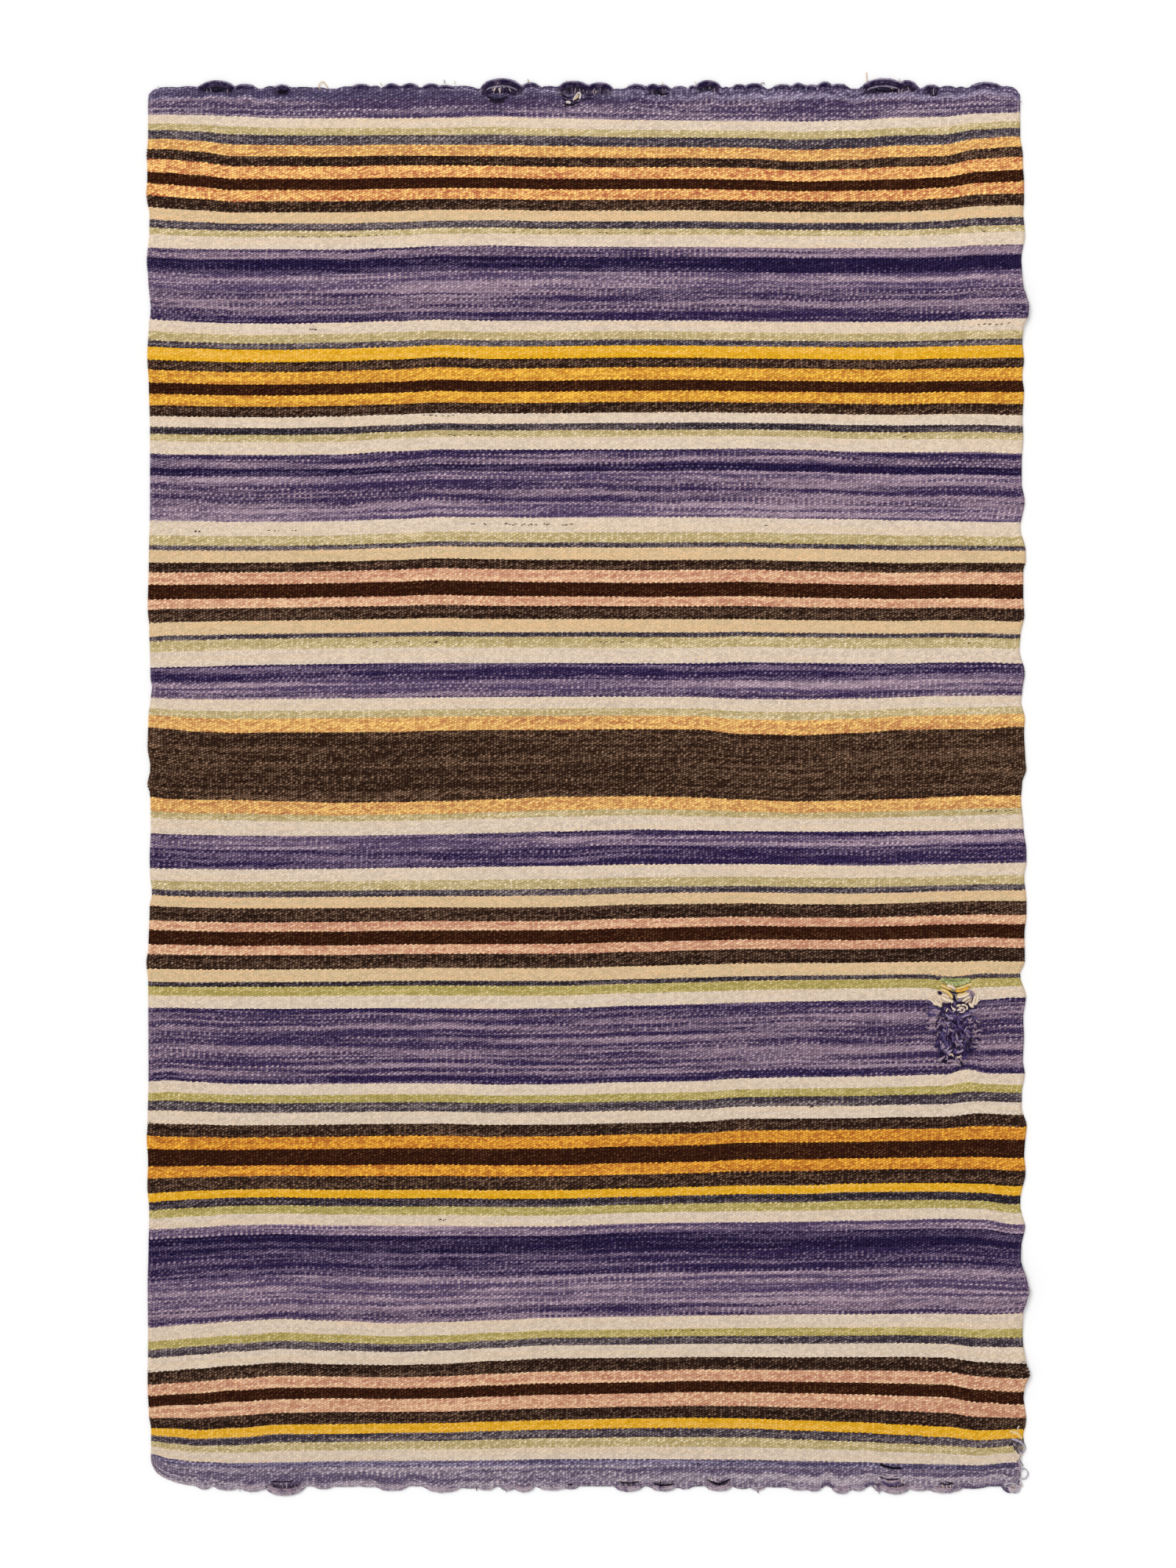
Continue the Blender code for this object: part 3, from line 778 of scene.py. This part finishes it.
# Where the last picks have parted, with near-black and dark strands of painted shadow laid where the shade
# between them shows, and the yarns that lie over the partings: (wool, radius, route), routes in the
# picture's millimetres.
# Painted shadow: the near-black strand laid in the partings.
WOOLS["pit"] = ((20, 14, 28), (40, 32, 50), 0.3, 0.5)
PARTINGS = {
    "top": (
        ("shaded", 1.5, ((620, 122), (628, 126), (638, 127), (648, 124))),
        ("shaded", 1.5, ((624, 129), (634, 131), (644, 129))),
        ("pit", 1.0, ((622, 125), (632, 128.5), (643, 127.5))),
        ("plum", 1.3, ((615, 121), (622, 118), (629, 117))),
        ("plum", 1.3, ((643, 113), (650, 118), (658, 122))),
        ("pit", 1.2, ((717, 126), (724, 129.5), (732, 129), (742, 126))),
        ("pit", 1.4, ((718, 132), (724, 134.5), (732, 133.5), (739, 130))),
        ("shaded", 1.3, ((742, 129), (750, 126), (757, 127))), ("pit", 1.0, ((720, 135), (722, 138))),
        ("pit", 1.2, ((716, 121), (723, 125), (729, 126))),
        ("plum", 1.3, ((744, 118), (750, 122), (757, 120))),
        ("pit", 1.0, ((270, 116), (276, 117.5), (283, 115))),
        ("pit", 0.9, ((355, 117), (361, 118), (367, 116))),
        ("pit", 1.1, ((838, 117), (845, 121), (853, 119))),
        ("pit", 1.2, ((1116, 115), (1130, 117.5), (1145, 114))),
        ("pit", 0.9, ((1186, 121), (1190, 122.5), (1195, 121))),
    ),
    "bottom": (
        ("pit", 0.9, ((345, 1888.5), (360, 1889.5), (375, 1888))),
        ("pit", 0.9, ((790, 1889.5), (803, 1891), (815, 1889))),
        ("pit", 1.0, ((833, 1892), (846, 1894), (860, 1892))),
        ("pit", 1.2, ((902, 1886.5), (917, 1892.5), (931, 1886))),
        ("pit", 2.2, ((1122, 1867), (1130, 1870), (1140, 1872), (1150, 1872))),
        ("pit", 1.2, ((1121, 1882.5), (1132, 1886.5), (1147, 1885.5))),
        ("pit", 0.9, ((1205, 1889), (1210, 1890.5), (1215, 1890.5))),
        ("lavender", 1.3, ((903, 1891), (917, 1897), (931, 1891))),
        ("grape mist", 1.2, ((905, 1886.5), (912, 1888), (917, 1890))),
        ("violet", 1.4, ((1124, 1889), (1134, 1893.5), (1148, 1890))),
        ("lavender", 1.3, ((1126, 1885.5), (1134, 1889.5), (1147, 1887.5))),
        ("grape mist", 1.2, ((1124, 1878), (1136, 1881), (1150, 1880))),
    ),
}
WOOLS["violet"] = ((66, 52, 98), (110, 94, 134), 0.42, 0.5)
for end, arc_wools in (("top", ("night slate", "plum", "plum", "shaded")),
                       ("bottom", ("grape mist", "grape mist", "lavender", "purple"))):
    arcs = []
    for middle, half, rise, gap in END_LINES[end][0]:
        if rise < LEAST_ARC:
            continue
        strands = 1 + round(rise / BULGE_PER_ARC)
        for rank in range(strands):
            reach = half * (1.0 - 0.07 * rank)
            steps = max(6, round(2 * reach / ARC_STEP))
            points = []
            for i in range(steps + 1):
                share = i / steps
                across = middle + reach * (2 * share - 1)
                x, y = end_point(end, across, ARC_RADIUS + rank * ARC_SPACING)
                tuck = 1 - smooth(min(share, 1 - share) / ARC_TUCK)
                z = lift(x, y) + ARC_HEIGHT - 1.0 * tuck + 0.3 * (rank % 2)
                points.append((x, y + chance.uniform(-0.45, 0.35), z,
                               ARC_RADIUS * (1 - 0.35 * tuck) * chance.uniform(0.82, 1.12)))
            arcs.append((arc_wools[rank % len(arc_wools)], points))
        if gap >= WIDE_GAP:
            across = middle - half * 0.65
            while across < middle + half * 0.6:
                across += chance.uniform(2.5, 7)
                x, y_out = end_point(end, across, strands * ARC_SPACING - 1)
                y_in = place(across, SLACK + 2 if end == "top" else LENGTH - SLACK - 2)[1]
                # Painted shade: the undyed warps lie in the hollow's shade, so they are drawn in dark wools.
                shaded_warp_wool = chance.choice(("shaded", "shaded", "night slate", "purple", "dusk"))
                lean = chance.uniform(-2.5, 2.5)
                thick = chance.uniform(0.5, 1.0)
                arcs.append((shaded_warp_wool, [
                    (x, y_out, 1.6, thick),
                    (x + lean * 0.7 + chance.uniform(-1, 1), (y_out + y_in) / 2, 1.7, thick),
                    (x + lean, y_in, 2.0, thick),
                ]))
    for wool, radius, route in PARTINGS[end]:
        points = []
        for px, py in through(route):
            x, y = from_picture(px, py)
            z = lift(x, y) + THICKNESS + (1.0 if wool != "pit" else 0.2) - radius * 0.5
            points.append((x, y, z, radius))
        for share, i in ((0.5, 0), (0.5, -1)):
            points[i] = (*points[i][:3], radius * share)
        arcs.append((wool, points))
    lay_yarns(end + "_slack_picks", arcs)


# The mend.
# A hole near the right side, drawn together and darned over by hand: chunky cream and straw yarn over the
# pale bands, moss green above them, and a thicket of dark purple stitches below.
WOOLS["moss"] = ((146, 154, 96), (204, 206, 152), 0.5, 0.5)
WOOLS["dark moss"] = ((118, 126, 72), (164, 168, 110), 0.45, 0.5)
WOOLS["straw"] = ((222, 186, 104), (238, 212, 150), 0.45, 0.5)
WOOLS["ivory"] = ((244, 228, 206), (232, 208, 184), 0.4, 0.5)
WOOLS["heather"] = ((124, 108, 140), (172, 154, 178), 0.45, 0.5)
WOOLS["midnight"] = ((26, 18, 40), (52, 40, 72), 0.4, 0.5)
darner = random.Random(23)


def darned(wool, radius, route, rise):
    """A yarn that arches over the mend, its route given in the picture's millimetres."""
    points = []
    line = through(route)
    for i, (px, py) in enumerate(line):
        x, y = from_picture(px, py)
        share = i / (len(line) - 1)
        level = lift(x, y) + THICKNESS + mend_rise(x, y)
        arch = rise * (1 - (2 * share - 1) ** 4)
        points.append((x, y, level + arch - 0.2, radius * (1.1 - 0.4 * (2 * share - 1) ** 6)))
    return wool, points


# The stitches that can be told apart, wool by wool: radius, how far it stands up, and its route.
STITCHES = {
    # The low midnight stitches are dark yarn and partly painted shade between the light ones; the first is a
    # painted shadow under the moss rows.
    "midnight": (
        (1.3, 0.0, (1203, 1260), (1209, 1263.5), (1216, 1266), (1224, 1266), (1231, 1263)),
        (2.2, 0.2, (1215, 1268), (1217, 1276), (1222, 1280), (1230, 1278)),
        (1.6, 0.2, (1202, 1279), (1206, 1281), (1212, 1281), (1218, 1284)),
        (1.5, 0.2, (1233, 1280), (1236, 1285), (1240, 1287), (1244, 1283)),
        (1.9, 1.2, (1196.5, 1265), (1198.5, 1266.5), (1200, 1267)),
        (1.1, 1.5, (1241.5, 1272), (1240, 1275), (1239.5, 1278)),
        (1.2, 1.4, (1246, 1273.5), (1248, 1274.5)), (1.2, 1.0, (1218, 1345), (1223, 1344.5), (1228, 1344)),
    ),
    "violet": (
        (1.7, 0.8, (1184, 1278), (1188, 1277), (1191, 1280)),
        (1.8, 0.8, (1184, 1284), (1190, 1285), (1198, 1288)),
        (1.8, 1.9, (1215, 1293), (1220, 1298), (1222, 1306)),
        (1.7, 1.8, (1200, 1316), (1203, 1322), (1205, 1329)),
        (1.6, 1.8, (1211, 1320), (1215, 1324), (1214, 1329)),
    ),
    "purple": (
        (1.8, 0.8, (1186, 1290), (1193, 1288), (1201, 1291)),
        (1.5, 1.5, (1232, 1266), (1237, 1264.5), (1241, 1267), (1241.5, 1272)),
    ),
    "straw": (
        (1.8, 1.3, (1200, 1256), (1206, 1259), (1213, 1262)),
        (1.7, 1.5, (1219, 1261.5), (1227, 1259), (1239, 1254.5)),
        (1.7, 1.2, (1221, 1268.5), (1227, 1268), (1233, 1266)),
        (2.0, 1.6, (1200, 1262), (1206, 1264), (1211, 1268), (1214.5, 1273)),
    ),
    "ivory": (
        (2.0, 1.9, (1208, 1256.5), (1213, 1258), (1217.5, 1261.5)),
        (1.9, 1.5, (1200, 1268.5), (1206, 1269.5), (1210, 1273)),
        (2.2, 1.9, (1200, 1271.5), (1207, 1275), (1216, 1277.5)),
        (1.2, 1.0, (1209, 1277), (1213, 1279), (1215.5, 1278)),
        (1.1, 1.1, (1190.5, 1269), (1193, 1273), (1198, 1277)),
        (1.1, 1.1, (1194, 1268), (1196.5, 1272), (1199.5, 1276)),
        (1.1, 1.0, (1188, 1272), (1192, 1275.5), (1196, 1279)),
        (1.2, 1.2, (1198.5, 1269), (1198, 1273), (1201, 1279)),
        (1.6, 1.2, (1186, 1274), (1189, 1277.5), (1194, 1280)),
        (2.1, 1.7, (1190, 1280), (1196, 1280.5), (1200.5, 1283.5)),
        (2.1, 1.5, (1220, 1271.5), (1229, 1270), (1236, 1266.5)),
        (1.4, 1.9, (1227, 1277), (1231, 1274), (1238, 1270.5)),
        (0.8, 1.2, (1231, 1279), (1234, 1276.5), (1236.5, 1274.5)),
        (1.9, 1.6, (1243.5, 1270), (1241.5, 1276), (1240, 1282)),
        (1.8, 1.5, (1247, 1271), (1245.5, 1276.5), (1243.5, 1281)),
        (1.8, 1.5, (1236, 1279), (1238, 1282.5), (1241, 1284)),
        (1.0, 1.2, (1244, 1278), (1247, 1276.5), (1249.5, 1274.5)),
        (1.1, 1.6, (1212, 1282), (1213, 1284.5), (1213.5, 1286.5)),
        (1.7, 1.7, (1214, 1286), (1216.5, 1287), (1218, 1289)),
        (0.8, 1.9, (1213, 1289.5), (1215.5, 1289.8), (1218, 1289.6)),
        (1.4, 1.7, (1219.5, 1283), (1221.5, 1282), (1224.5, 1281.5)),
        (1.1, 1.7, (1225.5, 1281), (1229, 1281.5), (1232, 1282.5)),
        (1.1, 1.7, (1222.5, 1285.5), (1226, 1285), (1229, 1285.5)),
        (1.2, 1.8, (1219, 1288.5), (1222.5, 1287.5), (1225.5, 1288)),
        (1.0, 1.8, (1223, 1291), (1227, 1290.5), (1229.5, 1288), (1229.8, 1286.5)),
        (1.0, 1.7, (1232, 1282.5), (1233, 1285), (1232, 1288)),
        (0.9, 1.5, (1205.5, 1291), (1207, 1288), (1208.5, 1285.5)),
    ),
    "gold": (
        (1.6, 1.4, (1219, 1264.3), (1227, 1263), (1235, 1259.5)),
    ),
    "heather": (
        (1.2, 1.6, (1235, 1269), (1238, 1269), (1239, 1272)),
        (1.3, 1.0, (1219, 1277), (1222.5, 1275.5), (1226, 1274.5)),
        (1.0, 1.2, (1185, 1291), (1188, 1291.5), (1190, 1291)),
        (1.2, 1.3, (1190, 1291.5), (1193, 1291), (1196, 1292)),
        (1.9, 1.2, (1236, 1290), (1240, 1289), (1245, 1288.5)),
        (1.2, 1.9, (1225, 1298), (1231, 1295), (1238, 1293)),
        (1.4, 1.6, (1206, 1293), (1209, 1296), (1214, 1294)),
        (1.6, 1.8, (1209, 1299), (1213, 1297.5), (1214, 1300)),
        (1.3, 1.7, (1203, 1303), (1207, 1304.5), (1211, 1303.5)),
        (1.2, 1.7, (1202, 1312), (1205, 1315), (1208, 1316)),
        (1.1, 1.8, (1208, 1311), (1211, 1313), (1213, 1315)),
        (1.2, 2.0, (1219, 1318), (1220, 1323), (1221, 1327)),
        (1.4, 1.9, (1220, 1327), (1224, 1328), (1227, 1326)),
        (1.2, 2.0, (1221, 1334), (1224, 1330.5), (1228, 1334)),
        (1.3, 1.7, (1199, 1338), (1205, 1334), (1209, 1329)),
        (1.2, 1.8, (1204, 1344), (1208, 1337), (1213, 1331)),
        (1.5, 1.8, (1208, 1347), (1211, 1341), (1215, 1335)),
        (1.5, 1.9, (1219, 1342), (1224, 1341), (1229, 1338)),
    ),
    "cream": (
        (1.1, 1.7, (1210, 1346), (1213, 1344), (1216, 1348)),
        (1.0, 1.8, (1217, 1349), (1222, 1348), (1226, 1346)),
    ),
    "lavender": (
        (1.7, 1.2, (1207, 1354), (1214, 1352), (1220, 1355)),
        (1.5, 1.0, (1212, 1358), (1219, 1357), (1225, 1359)),
    ),
}
# The thicket, where they can't be: wools, middle, half sizes, number, lean and its spread, lengths, radius.
THICKETS = (
    # The first, lowest layer is dark yarn and partly painted shade under the layers laid over it.
    (("midnight", "violet", "plum"), 1216, 1318, 24, 40, 90, 85, 70, (6, 12), 1.7, 0.5),
    (("violet", "violet", "plum", "purple"), 1217, 1316, 22, 38, 95, 95, 60, (4, 9), 1.3, 1.6),
    (("heather", "violet", "midnight", "midnight"), 1216, 1320, 18, 35, 34, 70, 60, (3, 7), 0.95, 2.2),
    (("violet", "purple", "lavender"), 1192, 1301, 9, 14, 22, 4, 22, (7, 12), 1.2, 0.9),
    (("violet", "purple", "plum", "lavender"), 1240, 1314, 9, 28, 34, -12, 35, (5, 10), 1.2, 0.9),
    (("violet", "midnight", "lavender"), 1202, 1334, 9, 22, 18, 50, 30, (5, 10), 1.3, 1.0),
)
stitches = []
for wools, middle_x, middle_y, half_x, half_y, number, lean, spread, lengths, radius, rise in THICKETS:
    for _ in range(number):
        turn, reach = darner.uniform(0, 2 * math.pi), darner.random() ** 0.5
        x, y = middle_x + half_x * reach * math.cos(turn), middle_y + half_y * reach * math.sin(turn)
        heading = math.radians(lean + darner.uniform(-spread, spread))
        along, bow = darner.uniform(*lengths) / 2, darner.uniform(-2.2, 2.2)
        dx, dy = along * math.cos(heading), -along * math.sin(heading)
        side_x, side_y = -bow * math.sin(heading), -bow * math.cos(heading)
        route = ((x - dx, y - dy), (x - dx * 0.5 + side_x * 0.8, y - dy * 0.5 + side_y * 0.8),
                 (x + dx * 0.4 + side_x, y + dy * 0.4 + side_y), (x + dx, y + dy))
        size = radius * darner.uniform(0.75, 1.2)
        stitches.append(darned(darner.choice(wools), size, route, rise * darner.uniform(0.4, 1.3)))
# The moss green patch: lying yarns, and three rows of short loops over them, from and to, level and sag.
MOSS_SPACING = 1.9
MOSS_ROWS = ((1201, 1238, 1249.0, 0.6), (1202, 1237, 1250.8, 2.4), (1205, 1233, 1252.2, 3.8))
for row, (first, last, level, sag) in enumerate(MOSS_ROWS):
    middle = (first + last) / 2
    lying = ((first, level), (middle, level + 1.1 * sag), (last, level))
    # Painted shade: dark moss yarn under the loops, so that the gaps between them show dark.
    stitches.append(darned("dark moss", 2.0, lying, 0.2))
    for i in range(int((last - first) / MOSS_SPACING)):
        x = first + i * MOSS_SPACING + darner.uniform(-0.4, 0.4)
        y = level + sag * (1 - ((x - middle) / (last - first) * 2) ** 2)
        nudge = darner.uniform(-0.9, 0.9)
        route = ((x - 0.9 + nudge, y - 1.3), (x, y + 0.2), (x + 0.9 - nudge, y + 1.2))
        stitches.append(darned(darner.choice(("moss", "moss", "dark moss")), 1.0, route, 1.1 + 0.3 * row))
for wool, rows in STITCHES.items():
    stitches.extend(darned(wool, radius, route, rise) for radius, rise, *route in rows)
mend = lay_yarns("mend", stitches)


# Loose ends.
# Broken warp ends stick out past both ends of the cloth, pale bits of warp show in the hollows, and the
# lower right corner is frayed into a tuft, a small loop and a rolled knot of yarn.
HAIR = 0.45
WOOLS["ash"] = ((160, 150, 166), (204, 196, 206), 0.45, 0.5)
WOOLS["beige"] = ((176, 164, 160), (204, 190, 180), 0.45, 0.5)
WOOLS["warp"] = ((232, 224, 218), (206, 190, 180), 0.4, 0.5)
# Wool by wool: radius and route.
LOOSE_ENDS = {
    "cream": (
        (HAIR, (202, 113), (202, 110)), (HAIR, (580, 108), (580, 103)), (HAIR, (722, 106), (722, 102)),
        (HAIR, (887, 108), (887, 104)), (HAIR, (1123, 104), (1123, 99)), (HAIR, (1147, 105), (1147, 100)),
        (HAIR, (649, 113), (652, 118)), (HAIR, (905, 110), (905, 114)), (HAIR, (1020, 110), (1020, 114)),
        (0.7, (1137, 103), (1136, 108), (1137, 114)), (HAIR, (760, 116), (760, 120)),
        (0.6, (694, 1896), (694, 1900)), (0.5, (701, 1894), (701, 1898)), (0.5, (707, 1894), (707, 1898)),
        (0.7, (1150, 1885), (1150, 1890)), (0.6, (907, 1884), (908, 1888)), (0.6, (912, 1886), (913, 1890)),
        (0.7, (1202, 1893), (1203, 1898)), (0.7, (1207, 1894), (1208, 1899)),
        (0.7, (1212, 1893), (1212, 1898)), (0.8, (1298, 1824), (1298, 1820), (1300, 1818)),
        (HAIR, (1301, 1892), (1304, 1894)),
    ),
    "sand": (
        (0.6, (409, 115), (407, 110), (409, 106), (413, 105), (415, 108), (417, 110), (418, 113)),
        (HAIR, (486, 110), (486, 105.5)), (HAIR, (845, 109), (845, 105)), (0.6, (944, 112), (944, 107)),
        (0.5, (1106, 110), (1105.5, 100), (1105, 92)), (1.0, (733, 128), (736, 125), (738, 122)),
    ),
    "charcoal": (
        (HAIR, (567, 107), (567, 102)), (HAIR, (970, 111), (971, 107), (974, 106), (975, 108)),
        (0.7, (608, 1895), (608, 1901)),
    ),
    "olive": (
        (0.6, (673, 107), (674, 104), (673, 101)),
    ),
    "warp": (
        (1.2, (630, 117), (632, 112), (635, 107.5), (637, 109)),
        (1.1, (636.5, 113), (637.5, 116.5), (638, 119)), (0.8, (641, 109), (643, 112), (646, 115)),
        (1.3, (731, 129), (734, 124), (738, 119), (740.5, 122), (739, 127)),
        (1.9, (722, 131), (725, 131), (728, 132)),
    ),
    "grape mist": (
        (0.7, (646, 1896), (646, 1903)), (0.7, (1121, 1898), (1121, 1905)), (0.6, (259, 1896), (259, 1900)),
        (0.6, (306, 1897), (306, 1902)),
    ),
    "lavender": (
        (1.0, (963, 1898), (966, 1901), (967, 1904)),
        (1.0, (1297, 1862), (1300, 1868), (1300, 1875), (1301, 1882)),
    ),
    # Painted shadow: dark strands laid in the slits between the last picks and among the tuft's yarns.
    "shaded": (
        (0.9, (724, 1893), (731, 1893)), (1.0, (1199, 1891), (1207, 1893), (1216, 1891)),
        (1.0, (1290, 1839), (1293, 1845), (1295, 1850)),
    ),
    "ash": (
        (1.7, (1294, 1836), (1301, 1839), (1306, 1844), (1305, 1850), (1300, 1853)),
        (1.5, (1297, 1836), (1303, 1840), (1307, 1846), (1304, 1851)),
        (1.4, (1292, 1840), (1297, 1845), (1299, 1850), (1302, 1853)),
        (1.6, (1290, 1835), (1297, 1836.5), (1303, 1841)), (0.8, (1298, 1853), (1301, 1858), (1300, 1863)),
        (0.6, (1300, 1864), (1302, 1870), (1301, 1877)),
        (0.75, (1300, 1876), (1303, 1873.5), (1307, 1873), (1310, 1876),
         (1311, 1880), (1308, 1885), (1304, 1886), (1301, 1884)),
        (0.7, (1299, 1884), (1302, 1890), (1303, 1896)),
        (1.4, (1280, 1893), (1288, 1891), (1295, 1893), (1300, 1898)),
        (1.7, (1286, 1896), (1289, 1901), (1295, 1902.5), (1299, 1900), (1299, 1896), (1295, 1894)),
    ),
    "slate": (
        (1.9, (1290, 1837), (1295, 1841), (1297, 1847), (1299, 1853)),
        (1.8, (1293, 1838), (1299, 1842), (1302, 1847), (1301, 1852)),
        (HAIR, (1299, 1860), (1303, 1866), (1305, 1870)), (HAIR, (1300, 131), (1303, 130)),
    ),
    "ivory": (
        (0.9, (1291, 1842), (1294, 1847), (1296, 1853), (1301, 1857)),
        (1.0, (1291, 1827), (1297, 1828), (1301, 1833)),
    ),
    "straw": (
        (1.5, (1287, 1826), (1293, 1825), (1299, 1829), (1303, 1835)),
    ),
    "gold": (
        (1.4, (1288, 1829), (1295, 1829), (1300, 1834)),
    ),
    "beige": (
        (1.9, (1287, 1897), (1292, 1899.5), (1297, 1898)),
        (1.5, (1290, 1893.5), (1295, 1896), (1299, 1899)),
    ),
    "purple": (
        (1.3, (1288, 1895), (1292, 1896), (1297, 1895.5)),
    ),
}
loose = []
for wool, rows in LOOSE_ENDS.items():
    for radius, *route in rows:
        line = through(route)
        points = []
        for i, (px, py) in enumerate(line):
            x, y = from_picture(px, py)
            inside = LEFT < x < LEFT + WIDTH and TOP - LENGTH < y < TOP
            tip = 0.6 if i in (0, len(line) - 1) else 1.0
            points.append((x, y, lift(x, y) + (3.4 if inside else 2.0), radius * tip))
        loose.append((wool, points))
loose_ends = lay_yarns("loose_ends", loose)


# Stray fibres.
# Dark hairs of the fleece that were spun in with the pale wools, lying in short broken lines along a pick.
# Each run: from and to across, down, how many.
DARK_RUNS = (
    (190, 330, 189, 12), (450, 640, 187, 10), (1060, 1066, 188, 2), (195, 214, 307, 6), (1050, 1100, 305, 9),
    (350, 395, 421, 7), (369, 450, 447, 9), (955, 965, 447, 2), (409, 540, 560, 26), (55, 70, 564, 4),
    (150, 190, 563, 5), (785, 792, 560, 2), (285, 290, 706, 2), (300, 372, 707, 8), (570, 630, 707, 6),
    (1045, 1050, 707, 2), (95, 102, 931, 2), (1060, 1100, 930, 8), (368, 384, 1441, 4), (840, 860, 1305, 4),
    (996, 1017, 1262, 5), (1012, 1016, 1298, 2), (500, 520, 1180, 3), (640, 700, 1590, 4),
)
fleece = random.Random(11)
hairs = []
for first, last, down, number in DARK_RUNS:
    for _ in range(number):
        across = fleece.uniform(first, last)
        length, tilt = fleece.uniform(1.6, 4.2), fleece.uniform(-0.1, 0.35)
        level = down + fleece.uniform(-0.9, 0.9)
        ends = []
        for share, thin in ((-0.5, 0.25), (0.0, 0.6), (0.5, 0.25)):
            x, y = place(across + share * length, level - tilt * share * length)
            ends.append((x, y, lift(x, y) + THICKNESS + 0.05, thin * fleece.uniform(0.8, 1.2)))
        hairs.append((fleece.choice(("umber", "charcoal", "umber")), ends))
stray_fibres = lay_yarns("stray_fibres", hairs)
